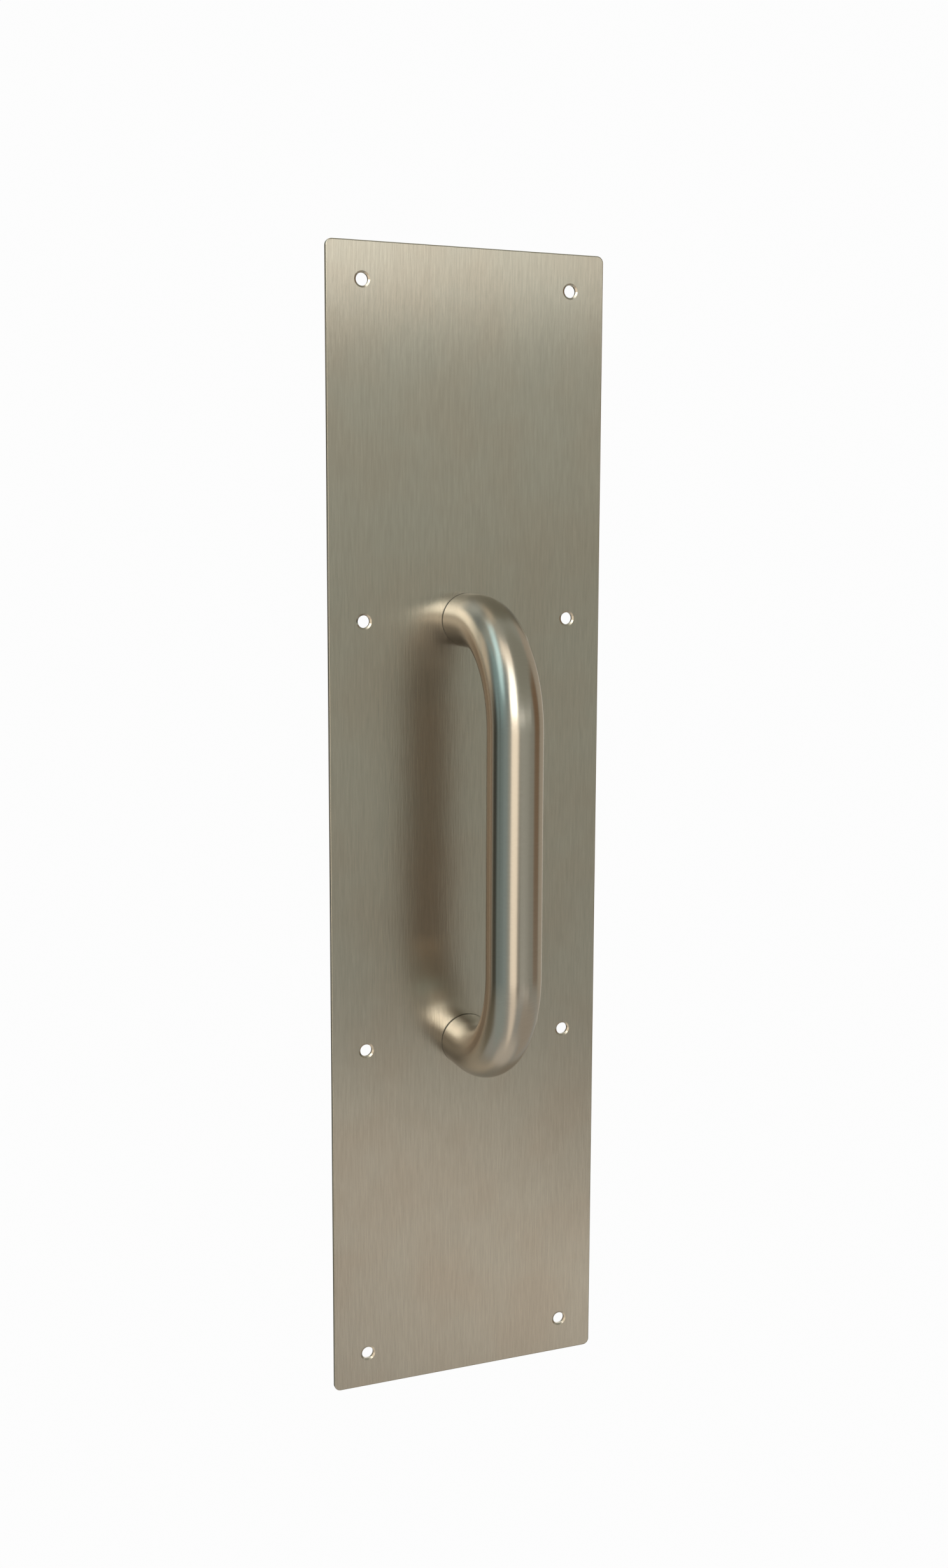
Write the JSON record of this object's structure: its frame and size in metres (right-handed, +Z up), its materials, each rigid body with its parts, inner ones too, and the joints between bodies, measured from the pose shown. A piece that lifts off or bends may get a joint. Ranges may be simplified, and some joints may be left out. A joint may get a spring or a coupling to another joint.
{
  "type": "door pull plate",
  "caption": "Tall flat steel plate with rounded corners, countersunk screw holes and a D-shaped round bar pull fixed at its middle.",
  "frame": {"origin": "centre of the plate's flat back face, where it lies on the door", "axes": "+Z up along the plate's height, +Y out of the back face into the door, +X to the right seen from the front; the handle stands out along -Y"},
  "size_m": [0.1016, 0.0552, 0.4064],
  "materials": {
    "plate_steel": "satin stainless steel, straight grain along the plate's height",
    "handle_steel": "satin stainless steel, fine grain round the bar, brighter than the plate",
    "screw_steel": "plain stainless steel machine screw"
  },
  "bodies": {
    "root": {"plate": "plate_steel", "pull_handle": "handle_steel", "handle_screws": "screw_steel"}
  },
  "joints": []
}
